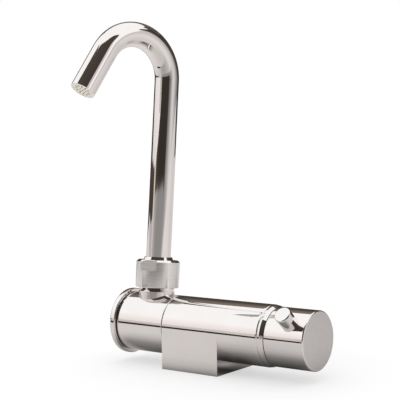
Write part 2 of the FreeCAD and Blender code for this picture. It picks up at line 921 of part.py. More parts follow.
def knob_insert():
    """Plastic sleeve between the spindle and the knob."""
    outer = insert_radius - seat_clearance
    sleeve = ring(outer, drive_end_dia / 2 + seat_clearance, knob_floor, insert_right)
    return put(sleeve, on_barrel).cut(grub_hole(grub_dia / 2 + seat_clearance, insert_dia))


def knob_peg():
    """Short round peg screwed radially into the knob as its handle."""
    return around_barrel(turned([
        (peg_stem_end, 0.0),
        (peg_stem_end, peg_stem_dia / 2),
        (peg_seat_radius, peg_stem_dia / 2),
        (peg_seat_radius, peg_dia / 2),
        (peg_reach, peg_dia / 2, peg_tip_round),
        (peg_reach, 0.0),
    ]), peg_angle, peg_x)


def grub_screw():
    """Set screw that clamps the knob on the spindle."""
    screw = rod(grub_dia / 2, grub_start(), grub_start() + grub_length)
    return around_barrel(screw, peg_angle + 180.0, peg_x)


pieces = [
    valve_body, base_seal, stop_pin, seam_washer, end_washer, disc_spring, end_cap, end_cap_seal,
    journal_seals, cartridge_base, cartridge_seals, fixed_disc, cartridge_housing, cartridge_nut, trim_collar,
    folding_head, union_nut, boss_washer, nut_ring,
    spout_tail, spout_seals, spout_tube, aerator_insert, aerator_strainer, aerator_seal,
    moving_disc, disc_carrier, spindle, spindle_seal, knob_insert, knob_shell, knob_peg, grub_screw,
]
os.makedirs("parts", exist_ok=True)
for piece in pieces:
    shape = piece()
    shape.exportStep("parts/" + piece.__name__ + ".step")
    print(piece.__name__, "solids", len(shape.Solids), "valid", shape.isValid())
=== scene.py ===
import json
import math

import bmesh
import bpy
import numpy as np
from mathutils import Matrix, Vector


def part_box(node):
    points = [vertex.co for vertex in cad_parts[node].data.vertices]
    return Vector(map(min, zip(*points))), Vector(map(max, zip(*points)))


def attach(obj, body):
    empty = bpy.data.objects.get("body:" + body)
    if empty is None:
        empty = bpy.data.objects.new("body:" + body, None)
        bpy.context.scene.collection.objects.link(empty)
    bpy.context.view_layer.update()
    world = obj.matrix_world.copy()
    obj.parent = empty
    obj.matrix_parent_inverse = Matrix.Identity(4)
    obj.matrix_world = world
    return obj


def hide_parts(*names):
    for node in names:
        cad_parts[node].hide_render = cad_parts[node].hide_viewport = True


# The looks of a folding mixer tap: plated castings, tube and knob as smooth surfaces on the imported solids,
# a moulded aerator, and the studio that the plating mirrors. Metres, +Z up, +X along the barrel to the
# knob, -Y towards the user.

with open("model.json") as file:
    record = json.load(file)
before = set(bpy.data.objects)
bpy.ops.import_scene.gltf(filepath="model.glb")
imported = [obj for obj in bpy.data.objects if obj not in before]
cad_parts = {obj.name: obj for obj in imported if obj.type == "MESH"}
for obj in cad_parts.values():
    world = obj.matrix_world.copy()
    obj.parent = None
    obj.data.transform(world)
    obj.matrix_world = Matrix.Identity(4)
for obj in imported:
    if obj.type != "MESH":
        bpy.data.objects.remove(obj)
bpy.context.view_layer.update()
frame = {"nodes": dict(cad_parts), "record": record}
MM = 0.001

# Sizes read from the frame
body_low, body_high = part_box("valve_body")
cap_low, cap_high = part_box("end_cap")
collar_low, collar_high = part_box("trim_collar")
knob_low, knob_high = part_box("knob_shell")
head_low, head_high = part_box("folding_head")
BARREL_RADIUS = body_high.y
AXIS_HEIGHT = body_high.z - BARREL_RADIUS
BARREL_END = body_high.x
BLOCK_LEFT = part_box("seam_washer")[1].x
BLOCK_HALF = -BLOCK_LEFT
CAP_INNER = body_low.x
CAP_OUTER = cap_low.x
CAP_NOSE_END = cap_high.x
CAP_RADIUS = cap_high.y
HEAD_LEFT = head_low.x
HEAD_RIGHT = head_high.x
COLLAR_SPIGOT = collar_low.x
COLLAR_RIGHT = collar_high.x
COLLAR_RADIUS = collar_high.y
KNOB_LEFT = knob_low.x
KNOB_RIGHT = knob_high.x
KNOB_RADIUS = knob_high.z - AXIS_HEIGHT

# Fits: loose in the head's bore and the nut's thread, close where a plug or a peg sits in its seat
LOOSE_FIT = 0.05 * MM
CLOSE_FIT = 0.03 * MM

# Barrel, journal and chamber
BARREL_EDGE = 0.6 * MM
JOURNAL_RADIUS = 12.0 * MM
JOURNAL_BORE = 7.0 * MM
JOURNAL_BORE_END = -8.0 * MM
CAP_THREAD_RADIUS = 9.0 * MM
CAP_THREAD_LENGTH = 5.5 * MM
CAP_THREAD_END = CAP_INNER + CAP_THREAD_LENGTH
CHAMBER_RADIUS = 14.0 * MM
CHAMBER_FLOOR = 10.0 * MM

# Underside, with the half sizes of the field of holes inside the seal's groove
INLET_RADIUS = 4.46 * MM
INLET_DEPTH = 11.0 * MM
INLET_OFFSET = 7.4 * MM
STUD_RADIUS = 2.5 * MM
STUD_DEPTH = 7.0 * MM
STUD_OFFSET = 12.0 * MM
STUD_CELL_EDGE = 8.0 * MM
SEAL_INSET = 2.0 * MM
SEAL_WIDTH = 2.4 * MM
SEAL_DEPTH = 1.8 * MM
FIELD_HALF_X = BLOCK_HALF - SEAL_INSET - SEAL_WIDTH
FIELD_HALF_Y = BARREL_RADIUS - SEAL_INSET - SEAL_WIDTH

# Head, boss and nut, with heights along the riser from the barrel's axis
HEAD_BORE = JOURNAL_RADIUS + LOOSE_FIT
HEAD_EDGE = 0.3 * MM
FOLD_LEAN = math.radians(6.0)
RISER_X = -38.9 * MM
BOSS_RADIUS = 11.0 * MM
BOSS_HEIGHT = 21.7 * MM
BOSS_THREAD = 10.5 * MM
BOSS_TOP = 30.7 * MM
BOSS_BORE = 9.0 * MM
BOSS_FLOOR = 15.7 * MM
BOSS_EDGE = 0.5 * MM
NECK_HEIGHT = 2.4 * MM
NECK_FOOT = BOSS_HEIGHT - NECK_HEIGHT
NECK_TAPER = 0.22 * MM
NUT_RADIUS = 13.3 * MM
NUT_TOP = 38.5 * MM
NUT_CHAMFER = 1.2 * MM
NUT_FOOT_ROUND = 0.4 * MM
NUT_THREAD = BOSS_THREAD + LOOSE_FIT
NUT_HOLE = 7.9 * MM
NUT_LIP = 34.6 * MM
NUT_COLLAR_WALL = 0.5 * MM
NUT_COLLAR_SLOPE = 0.7 * MM
NUT_COLLAR_RISE = 1.8 * MM
NUT_COLLAR_RADIUS = NUT_HOLE + NUT_COLLAR_WALL
NUT_COLLAR_FOOT = NUT_COLLAR_RADIUS + NUT_COLLAR_SLOPE
NUT_COLLAR_TOP = NUT_TOP + NUT_COLLAR_RISE
NUT_FLAT_DEPTH = 1.1 * MM
NUT_FLAT_HEIGHT = 6.6 * MM
NUT_TURN = math.radians(10.0)

# Spout
TUBE_RADIUS = 7.5 * MM
TUBE_BORE = 6.5 * MM
TUBE_START = 27.75 * MM
TUBE_RIM = 0.25 * MM
BEND_START = 149.0 * MM
BEND_RADIUS = 25.0 * MM
BEND_ANGLE = math.radians(150.5)
OUTLET_LEG = 29.0 * MM
SWIVEL_REST = math.radians(-15.0)

# Aerator
AERATOR_RECESS = 0.3 * MM
SLOT_SHADE_DEPTH = 0.5 * MM

# End cap
CAP_OUTER_ROUND = 1.4 * MM
CAP_INNER_ROUND = 0.4 * MM
CAP_FACE_MARGIN = 4.2 * MM
SPRING_RECESS = 1.4 * MM
SPRING_RECESS_INNER = 12.2 * MM
SPRING_RECESS_OUTER = 16.8 * MM
CAP_KEY_HALF = 4.0 * MM
CAP_KEY_DEPTH = 3.5 * MM
CAP_KEY_SIDES = 6

# Collar, knob and peg
COLLAR_EDGE = 0.3 * MM
COLLAR_SLOPE = 2.0 * MM
COLLAR_DROP = 1.1 * MM
COLLAR_BORE = 10.0 * MM
KNOB_FRONT_ROUND = 0.4 * MM
KNOB_END_ROUND = 0.8 * MM
KNOB_CAVITY = 14.4 * MM
KNOB_CAVITY_DEPTH = 7.0 * MM
KNOB_FLOOR = KNOB_LEFT + KNOB_CAVITY_DEPTH
INSERT_RADIUS = 7.0 * MM
INSERT_LENGTH = 12.0 * MM
INSERT_RIGHT = KNOB_FLOOR + INSERT_LENGTH
PEG_SETBACK = 15.2 * MM
PEG_X = KNOB_LEFT + PEG_SETBACK
PEG_ANGLE = math.radians(51.0)
PEG_RADIUS = 4.75 * MM
PEG_REACH = 27.2 * MM
PEG_SEAT = 15.4 * MM
PEG_STEM = 2.5 * MM
PEG_STEM_END = 8.5 * MM
PEG_TIP_ROUND = 0.8 * MM
GRUB_RADIUS = 2.03 * MM
GRUB_FLOOR = 7.5 * MM

# How finely the surfaces are cut
ROUND_STEPS = 6
TURN_STEPS = 192
HALF_TURN_STEPS = 144
HOLE_WINDOW = math.radians(48.0)
WINDOW_TURN_STEPS = 24
WINDOW_RINGS = 24
GAP_STEPS = 144
DRILLED_STEPS = 30
STUD_CELL_STEPS = 8
INLET_CELL_STEPS = 16
FIELD_DEPTH_STEPS = 40
CELL_RINGS = 6
BLOCK_RISE_STEPS = 24
BLOCK_FACE_RINGS = 4
BLOCK_CORNER_RINGS = 8
FREE_STEPS = 19
CAP_FACE_RINGS = 4
NUT_ROUND_STEPS = 28
NUT_FLAT_STEPS = 12
NUT_CHAMFER_STEPS = 24
RISER_STEPS = 59
BEND_STEPS = 139
OUTLET_STEPS = 15
TUBE_TURN_STEPS = 128
TUBE_RIM_STEPS = 8
WELD = 1e-7
SHARP_ANGLE = math.radians(18.0)

# Finishes: the stretch of a noise that most of its values lie in, and how fine the patterns are
NOISE_LOW = 0.3
NOISE_HIGH = 0.7
GRAIN_DETAIL = 3.0
RELIEF_DETAIL = 2.0
RELIEF_FINENESS = 3.0
CREAM_GRAIN = 900.0
LINES_IN_A_METRE = 1200.0
RUBBER_RELIEF = 0.02 * MM

# Studio: floor and light
WHITE = (1.0, 1.0, 1.0, 1.0)
GREY = (0.5, 0.5, 0.5, 1.0)
BLACK = (0.0, 0.0, 0.0, 1.0)
FLOOR_REACH = 4.0
FLOOR_GLOW = 0.53
SOFT_LIGHT = 0.95

# Studio: the tabletop and the cards that the plating mirrors. A card hides the cards that stand farther out.
WARM = (1.04, 0.995, 0.98)
DARK = (1.15, 0.94, 0.78)
TABLE_REACH = 0.4
TABLE_LIFT = 0.1 * MM
TABLE_RINGS = 180
TABLE_RING_GROWTH = 1.6
TABLE_AZIMUTH_STEP = 2.0
TABLE_EDGE_DISTANCE = 0.41
FRONT_TOP_TONE = 0.06
DARK_DISTANCE = 20.0
SIDE_HAZE_DISTANCE = 20.5
HAZE_DISTANCE = 21.0
LEFT_DISTANCE = 21.5
WALL_DISTANCE = 22.0
WALL_FOOT = -35.0
HORIZON = 1.0
CARD_AZIMUTH_STEP = 1.0
CARD_RINGS = 8

# Camera: where it stands round its target, how far its frame is shifted, and its lens in millimetres
CAMERA_TARGET = np.array([0.0, 0.0, 90.0 * MM])
CAMERA_AZIMUTH = math.radians(36.33)
CAMERA_ELEVATION = math.radians(3.77)
CAMERA_ROLL = math.radians(-0.89)
CAMERA_DISTANCE = 674.7 * MM
CAMERA_TO_RIGHT = -2.96 * MM
CAMERA_TO_TOP = 9.87 * MM
SENSOR_WIDTH = 36.0
LENS = 102.89


class Axes:
    """A right-handed frame: local (x, y, z) goes to origin + x*ex + y*ey + z*ez."""

    def __init__(self, origin, ex, ez):
        self.origin = np.array(origin, float)
        ex = np.array(ex, float)
        ez = np.array(ez, float)
        self.rows = np.array([ex, np.cross(ez, ex), ez])

    def carry(self, points):
        return self.origin + points @ self.rows


# The barrel's frame has its angle zero at the top, growing towards the user. The head's is leaned back.
AXIS = np.array([0.0, 0.0, AXIS_HEIGHT])
ALONG = np.array([1.0, 0.0, 0.0])
UP = np.array([0.0, 0.0, 1.0])
RISER = np.array([0.0, math.sin(FOLD_LEAN), math.cos(FOLD_LEAN)])
PEG = np.array([0.0, -math.sin(PEG_ANGLE), math.cos(PEG_ANGLE)])
barrel_axes = Axes(AXIS, UP, ALONG)
head_axes = Axes(AXIS, RISER, ALONG)
riser_axes = Axes(AXIS + ALONG * RISER_X, ALONG, RISER)
peg_axes = Axes(AXIS + ALONG * PEG_X, ALONG, PEG)
grub_axes = Axes(AXIS + ALONG * PEG_X, ALONG, -PEG)


def spaced(first, last, steps):
    """Places from the first to the last, equal steps apart."""
    return np.linspace(first, last, steps + 1)


def full_turn(steps=TURN_STEPS):
    """Angles of one whole turn."""
    return spaced(0.0, math.tau, steps)


def rounded(corners):
    """Profile of (along, radius) rows through the corners. A third number puts an arc of that radius there.
    The arc's middle lies on the corner's bisector, radius / sin(half the corner) away, and with a sweep of w
    its points are middle + (sin((1 - s) w) * first + sin(s w) * last) / sin w."""
    points = np.array([corner[:2] for corner in corners], float)
    rows = []
    for index, corner in enumerate(corners):
        here = points[index]
        if len(corner) == 2:
            rows.append(here[None])
            continue
        size = corner[2]
        before = points[index - 1] - here
        after = points[(index + 1) % len(points)] - here
        before = before / np.linalg.norm(before)
        after = after / np.linalg.norm(after)
        half = math.acos(np.clip(before @ after, -1.0, 1.0)) / 2
        middle = here + (before + after) / np.linalg.norm(before + after) * size / math.sin(half)
        first = here + before * size / math.tan(half) - middle
        last = here + after * size / math.tan(half) - middle
        sweep = math.pi - 2 * half
        share = spaced(0.0, 1.0, ROUND_STEPS)[:, None]
        arc = np.sin((1 - share) * sweep) * first + np.sin(share * sweep) * last
        rows.append(middle + arc / math.sin(sweep))
    return np.concatenate(rows)


def straight(places, radius):
    """Profile of a plain cylinder with rows at the given places."""
    return np.column_stack([places, np.full_like(places, radius)])


def turned(axes, profile, angles=None, limit=None):
    """Surface of a profile turned about the frame's third axis: (radius cos a, radius sin a, along).
    A limit is the largest radius at each angle, which cuts flats and sockets."""
    angles = full_turn() if angles is None else angles
    profile = np.asarray(profile, float)
    along = np.broadcast_to(profile[:, :1], (len(profile), len(angles)))
    radius = np.broadcast_to(profile[:, 1:], along.shape)
    if limit is not None:
        radius = np.minimum(radius, limit)
    return axes.carry(np.stack([radius * np.cos(angles), radius * np.sin(angles), along], -1))


def ruled(first, last, steps=1):
    """Surface of straight lines between two curves with equally many points: first (1 - s) + last s."""
    share = spaced(0.0, 1.0, steps)[:, None, None]
    return first * (1 - share) + last * share


def rectangle_loop(xs, ys):
    """Closed loop of (x, y) rows round a rectangle, counter-clockwise from its (low, low) corner."""
    low = np.column_stack([xs, np.full_like(xs, ys[0])])
    right = np.column_stack([np.full_like(ys, xs[-1]), ys])
    high = np.column_stack([xs[::-1], np.full_like(xs, ys[-1])])
    left = np.column_stack([np.full_like(ys, xs[0]), ys[::-1]])
    return np.concatenate([low[:-1], right[:-1], high[:-1], left])


def at_height(loop, z):
    """Points of a loop of (x, y) rows that lies level at height z."""
    return np.column_stack([loop, np.full(len(loop), z)])


def at_station(outline, x):
    """Points of an outline of (y, z) rows that stands at the place x along the barrel."""
    return np.column_stack([np.full(len(outline), x), outline])


def grid_quads(rows, columns):
    """Corner numbers of the quads in a grid of points counted row by row."""
    numbers = np.arange(rows * columns).reshape(rows, columns)
    corners = [numbers[:-1, :-1], numbers[:-1, 1:], numbers[1:, 1:], numbers[1:, :-1]]
    return np.stack(corners, -1).reshape(-1, 4)


def mesh_of(name, patches, second_patches=()):
    """Object whose mesh welds the patches, grids of points, into one closed skin with outward faces. The
    faces of the second patches get the second material."""
    points = []
    quads = []
    start = 0
    for patch in [*patches, *second_patches]:
        quads.append(start + grid_quads(*patch.shape[:2]))
        points.append(patch.reshape(-1, 3))
        start += len(points[-1])
    mesh = bpy.data.meshes.new(name)
    mesh.from_pydata(np.concatenate(points), [], np.concatenate(quads))
    first_faces = sum(len(part) for part in quads[:len(patches)])
    slots = np.zeros(len(mesh.polygons), np.int32)
    slots[first_faces:] = 1
    mesh.polygons.foreach_set("material_index", slots)
    skin = bmesh.new()
    skin.from_mesh(mesh)
    bmesh.ops.remove_doubles(skin, verts=skin.verts, dist=WELD)
    bmesh.ops.dissolve_degenerate(skin, dist=WELD, edges=skin.edges)
    bmesh.ops.recalc_face_normals(skin, faces=skin.faces)
    skin.to_mesh(mesh)
    skin.free()
    mesh.shade_smooth()
    mesh.set_sharp_from_angle(angle=SHARP_ANGLE)
    piece = bpy.data.objects.new(name, mesh)
    bpy.context.scene.collection.objects.link(piece)
    return piece


def drilled_barrel(axes, radius, x_left, x_right, holes):
    """Barrel with round holes that stand square to its axis, one for each (x, angle, hole radius).
    Round a hole, an unrolled window shrinks in straight lines to the rim, where a barrel of radius R meets a
    drill of radius r: the angle is arcsin(r sin t / R). The rest is a plain turned surface between windows.
    It returns the patches, the angles round the axis, and each rim's own angles t round its drill."""
    xs = spaced(x_left, x_right, DRILLED_STEPS)
    window = rectangle_loop(xs, spaced(-HOLE_WINDOW, HOLE_WINDOW, WINDOW_TURN_STEPS))
    patches = []
    rims = []
    stops = []
    for hole_x, hole_angle, hole_radius in holes:
        t = np.arctan2(window[:, 1] * radius, window[:, 0] - hole_x)
        rim_angle = np.arcsin(hole_radius * np.sin(t) / radius)
        rim = np.column_stack([hole_x + hole_radius * np.cos(t), rim_angle])
        unrolled = ruled(rim, window, WINDOW_RINGS)
        angle = hole_angle + unrolled[..., 1]
        local = np.stack([radius * np.cos(angle), radius * np.sin(angle), unrolled[..., 0]], -1)
        patches.append(axes.carry(local))
        rims.append(t)
        stops.append(hole_angle)
    angles = []
    for here, following in zip(stops, [*stops[1:], stops[0] + math.tau]):
        gap = spaced(here + HOLE_WINDOW, following - HOLE_WINDOW, GAP_STEPS // len(stops))
        patches.append(turned(axes, straight(xs, radius), gap))
        angles.append(spaced(here - HOLE_WINDOW, here + HOLE_WINDOW, WINDOW_TURN_STEPS)[:-1])
        angles.append(gap[:-1])
    angles = np.concatenate(angles)
    return patches, np.append(angles, angles[0] + math.tau), rims


def stand(axes, t, drill_radius, barrel_radius, profile):
    """Surface that goes from a drilled rim along the drill's axis through a profile's (height, radius) rows.
    With a drill of radius r in a barrel of radius R, the rim's height at the angle t is
    sqrt(R^2 - (r sin t)^2)."""
    heights = np.sqrt(barrel_radius ** 2 - (drill_radius * np.sin(t)) ** 2)
    foot = np.stack([drill_radius * np.cos(t), drill_radius * np.sin(t), heights], -1)
    rest = turned(axes, profile, t)
    return np.concatenate([axes.carry(foot)[None], rest])


def holed_cell(xs, ys, centre, radius, depth):
    """Rectangle of the underside with a round blind hole: lines from the edge to the hole's rim, its wall
    and its floor. Each point of the edge keeps its angle t round the hole's centre."""
    edge = rectangle_loop(xs, ys)
    t = np.arctan2(edge[:, 1] - centre[1], edge[:, 0] - centre[0])
    rim = np.array(centre) + radius * np.column_stack([np.cos(t), np.sin(t)])
    middle = np.broadcast_to(np.array(centre), rim.shape)
    return [
        ruled(at_height(edge, 0.0), at_height(rim, 0.0), CELL_RINGS),
        ruled(at_height(rim, 0.0), at_height(rim, depth)),
        ruled(at_height(rim, depth), at_height(middle, depth)),
    ]


def hole_field(stud_xs, inlet_xs, ys):
    """Middle of the underside: a cell with a stud's hole at each side, and two cells with inlets between."""
    half = len(ys) // 2
    patches = []
    for side in (-1, 1):
        cell = stud_xs if side > 0 else -stud_xs[::-1]
        patches += holed_cell(cell, ys, (side * STUD_OFFSET, 0.0), STUD_RADIUS, STUD_DEPTH)
        span = ys[half:] if side > 0 else ys[:half + 1]
        patches += holed_cell(inlet_xs, span, (0.0, side * INLET_OFFSET), INLET_RADIUS, INLET_DEPTH)
    return patches


def seal_groove(xs, ys):
    """Groove round the field of holes and the rim outside it, between rectangles of growing half sizes."""
    rings = [
        (FIELD_HALF_X, FIELD_HALF_Y, 0.0),
        (FIELD_HALF_X, FIELD_HALF_Y, SEAL_DEPTH),
        (FIELD_HALF_X + SEAL_WIDTH, FIELD_HALF_Y + SEAL_WIDTH, SEAL_DEPTH),
        (FIELD_HALF_X + SEAL_WIDTH, FIELD_HALF_Y + SEAL_WIDTH, 0.0),
        (BLOCK_HALF, BARREL_RADIUS, 0.0),
    ]
    return np.stack([
        at_height(rectangle_loop(xs * half_x / FIELD_HALF_X, ys * half_y / FIELD_HALF_Y), z)
        for half_x, half_y, z in rings])


def journal_end(section, bottom):
    """Left face, with lines from the block's outline to the journal's foot, and the journal, which ends in a
    blind bore. Each point of the outline keeps its angle t round the barrel's axis."""
    outline = np.concatenate([section, bottom[1:]])
    t = np.arctan2(-outline[:, 0], outline[:, 1] - AXIS_HEIGHT)
    journal = turned(barrel_axes, [
        (BLOCK_LEFT, JOURNAL_RADIUS),
        (CAP_INNER, JOURNAL_RADIUS),
        (CAP_INNER, CAP_THREAD_RADIUS),
        (CAP_THREAD_END, CAP_THREAD_RADIUS),
        (CAP_THREAD_END, JOURNAL_BORE),
        (JOURNAL_BORE_END, JOURNAL_BORE),
        (JOURNAL_BORE_END, 0.0),
    ], t)
    return [ruled(at_station(outline, BLOCK_LEFT), journal[0], BLOCK_FACE_RINGS), journal]


def chamber_end(front, back, bottom, over):
    """Right face, with lines from the barrel's lower half circle to the block's outline, and the barrel's
    free stretch, which ends in the chamber's mouth."""
    lower_edge = np.concatenate([front[::-1][:-1], bottom[::-1][:-1], back[::-1]])
    under = spaced(math.pi / 2, 3 * math.pi / 2, len(lower_edge) - 1)
    lower_rim = turned(barrel_axes, [(BLOCK_HALF, BARREL_RADIUS)], under)[0]
    around = np.concatenate([over[::-1][:-1], under])
    free = straight(spaced(BLOCK_HALF, BARREL_END - BARREL_EDGE, FREE_STEPS), BARREL_RADIUS)
    mouth = rounded([
        (BARREL_END - BARREL_EDGE, BARREL_RADIUS),
        (BARREL_END, BARREL_RADIUS, BARREL_EDGE),
        (BARREL_END, CHAMBER_RADIUS),
        (CHAMBER_FLOOR, CHAMBER_RADIUS),
        (CHAMBER_FLOOR, 0.0),
    ])
    return [
        ruled(lower_rim, at_station(lower_edge, BLOCK_HALF), BLOCK_CORNER_RINGS),
        turned(barrel_axes, free, around),
        turned(barrel_axes, mouth, around),
    ]


def body_casting():
    """Block and barrel: a section carried along X, which runs up the front, over the barrel's upper half
    circle and down the back, with the underside and the two machined ends."""
    stud_xs = spaced(STUD_CELL_EDGE, FIELD_HALF_X, STUD_CELL_STEPS)
    inlet_xs = spaced(-STUD_CELL_EDGE, STUD_CELL_EDGE, INLET_CELL_STEPS)
    xs = np.concatenate([-stud_xs[::-1][:-1], inlet_xs[:-1], stud_xs])
    ys = spaced(-FIELD_HALF_Y, FIELD_HALF_Y, FIELD_DEPTH_STEPS)
    rise = spaced(0.0, AXIS_HEIGHT, BLOCK_RISE_STEPS)
    over = spaced(math.pi / 2, -math.pi / 2, HALF_TURN_STEPS)
    front = np.column_stack([np.full_like(rise, -BARREL_RADIUS), rise])
    top = np.column_stack([-BARREL_RADIUS * np.sin(over), AXIS_HEIGHT + BARREL_RADIUS * np.cos(over)])
    back = np.column_stack([np.full_like(rise, BARREL_RADIUS), rise[::-1]])
    bottom = np.column_stack([ys[::-1] * BARREL_RADIUS / FIELD_HALF_Y, np.zeros_like(ys)])
    section = np.concatenate([front[:-1], top, back[1:]])
    block_xs = xs * BLOCK_HALF / FIELD_HALF_X
    strip = np.empty((len(section), len(block_xs), 3))
    strip[..., 0] = block_xs
    strip[..., 1:] = section[:, None]
    return mesh_of("body_casting", [
        *hole_field(stud_xs, inlet_xs, ys),
        seal_groove(xs, ys),
        strip,
        *journal_end(section, bottom),
        *chamber_end(front, back, bottom, over),
    ])


def head_casting():
    """Folding stretch of the barrel with the spout's boss rising from it."""
    left = HEAD_LEFT + HEAD_EDGE
    right = HEAD_RIGHT - HEAD_EDGE
    boss = (RISER_X, 0.0, BOSS_RADIUS)
    patches, angles, rims = drilled_barrel(head_axes, BARREL_RADIUS, left, right, [boss])
    ends = rounded([
        (HEAD_LEFT, BARREL_RADIUS, HEAD_EDGE),
        (HEAD_LEFT, HEAD_BORE),
        (HEAD_RIGHT, HEAD_BORE),
        (HEAD_RIGHT, BARREL_RADIUS, HEAD_EDGE),
    ])
    patches.append(turned(head_axes, ends, angles))
    neck = rounded([
        (NECK_FOOT, BOSS_RADIUS),
        (NECK_FOOT, BOSS_THREAD + NECK_TAPER),
        (BOSS_HEIGHT, BOSS_THREAD),
        (BOSS_TOP, BOSS_THREAD, BOSS_EDGE),
        (BOSS_TOP, BOSS_BORE),
        (BOSS_FLOOR, BOSS_BORE),
        (BOSS_FLOOR, 0.0),
    ])
    # The drill's angle t is counted from +X towards the user, the riser frame's the other way round
    around = -rims[0]
    patches.append(turned(riser_axes, neck, around))
    patches.append(stand(riser_axes, around, BOSS_RADIUS, BARREL_RADIUS, [(NECK_FOOT, BOSS_RADIUS)]))
    return mesh_of("head_casting", patches)


def end_cap():
    """Flange with rounded edges, the plug behind it and a hexagonal key socket in its outer face: the
    hexagon limits the radius to its half width over the cosine of the angle from the middle of a side."""
    angles = full_turn()
    side_turn = math.tau / CAP_KEY_SIDES
    from_corner = (angles + side_turn / 2) % side_turn - side_turn / 2
    hexagon = CAP_KEY_HALF / np.cos(side_turn / 2 - np.abs(from_corner))
    corner = CAP_KEY_HALF / math.cos(side_turn / 2)
    socket = turned(barrel_axes, [
        (CAP_OUTER + CAP_KEY_DEPTH, 0.0),
        (CAP_OUTER + CAP_KEY_DEPTH, corner),
        (CAP_OUTER, corner),
    ], angles, hexagon)
    outside = turned(barrel_axes, rounded([
        (CAP_OUTER, CAP_RADIUS - CAP_FACE_MARGIN),
        (CAP_OUTER, CAP_RADIUS, CAP_OUTER_ROUND),
        (CAP_INNER, CAP_RADIUS, CAP_INNER_ROUND),
        (CAP_INNER, SPRING_RECESS_OUTER),
        (CAP_INNER - SPRING_RECESS, SPRING_RECESS_OUTER),
        (CAP_INNER - SPRING_RECESS, SPRING_RECESS_INNER),
        (CAP_INNER, SPRING_RECESS_INNER),
        (CAP_INNER, CAP_THREAD_RADIUS - CLOSE_FIT),
        (CAP_THREAD_END, CAP_THREAD_RADIUS - CLOSE_FIT),
        (CAP_THREAD_END, JOURNAL_BORE - CLOSE_FIT),
        (CAP_NOSE_END, JOURNAL_BORE - CLOSE_FIT),
        (CAP_NOSE_END, 0.0),
    ]), angles)
    face = ruled(socket[-1], outside[0], CAP_FACE_RINGS)
    return mesh_of("end_cap_plated", [socket, face, outside])


def union_nut():
    """Round nut turned about the riser, with a coned collar round the tube and two flats that a spanner
    takes: the flats limit the radius to their distance from the axis over the sine of the angle."""
    flat_distance = NUT_RADIUS - NUT_FLAT_DEPTH
    flat_edge = math.asin(flat_distance / NUT_RADIUS)
    round_part = spaced(0.0, flat_edge, NUT_ROUND_STEPS)
    flat_part = spaced(flat_edge, math.pi / 2, NUT_FLAT_STEPS)
    quarter = np.concatenate([round_part[:-1], flat_part])
    half = np.concatenate([quarter[:-1], math.pi - quarter[::-1]])
    angles = np.concatenate([half[:-1], math.pi + half])
    limit = flat_distance / np.maximum(np.abs(np.sin(angles)), flat_distance / NUT_RADIUS)
    flat_foot = NUT_TOP - NUT_FLAT_HEIGHT
    drop = spaced(0.0, NUT_CHAMFER, NUT_CHAMFER_STEPS)
    chamfer = np.column_stack([NUT_TOP - drop, NUT_RADIUS - NUT_CHAMFER + drop])
    upper = turned(riser_axes, [
        (NUT_TOP, NUT_COLLAR_FOOT),
        *chamfer,
        (flat_foot, NUT_RADIUS),
    ], angles + NUT_TURN, limit)
    lower = turned(riser_axes, rounded([
        (flat_foot, NUT_RADIUS),
        (BOSS_HEIGHT, NUT_RADIUS, NUT_FOOT_ROUND),
        (BOSS_HEIGHT, NUT_THREAD),
        (NUT_LIP, NUT_THREAD),
        (NUT_LIP, NUT_HOLE),
        (NUT_COLLAR_TOP, NUT_HOLE),
        (NUT_COLLAR_TOP, NUT_COLLAR_RADIUS),
        (NUT_TOP, NUT_COLLAR_FOOT),
    ]), angles + NUT_TURN)
    ledge = ruled(upper[-1], lower[0])
    # The upright sides, above and below the ledge, are the second patches
    return mesh_of("union_nut_plated", [upper[:-1], ledge, lower[1:]], [upper[-2:], lower[:2]])


def spout_path():
    """Centre line of the spout: straight up the riser, round the bend, where a centre is the bend's middle
    + radius * (sin a * up - cos a * forward), and out along the leg. It returns the centres, the direction
    out of the bend at each of them, the direction across the bend's plane, and the outlet's direction."""
    across, behind, up = riser_axes.rows
    forward = math.sin(SWIVEL_REST) * across - math.cos(SWIVEL_REST) * behind
    start = riser_axes.origin
    rise = spaced(TUBE_START, BEND_START, RISER_STEPS)[:-1, None]
    turn = spaced(0.0, BEND_ANGLE, BEND_STEPS)[:, None]
    outward = np.sin(turn) * up - np.cos(turn) * forward
    bend_middle = start + up * BEND_START + forward * BEND_RADIUS
    out_direction = math.sin(BEND_ANGLE) * forward + math.cos(BEND_ANGLE) * up
    run = np.append(spaced(0.0, OUTLET_LEG - TUBE_RIM, OUTLET_STEPS)[1:], [OUTLET_LEG])[:, None]
    centres = np.concatenate([
        start + rise * up,
        bend_middle + BEND_RADIUS * outward,
        bend_middle + BEND_RADIUS * outward[-1] + run * out_direction,
    ])
    outwards = np.concatenate([
        np.broadcast_to(-forward, (len(rise), 3)),
        outward,
        np.broadcast_to(outward[-1], (len(run), 3)),
    ])
    return centres, outwards, np.cross(up, forward), out_direction


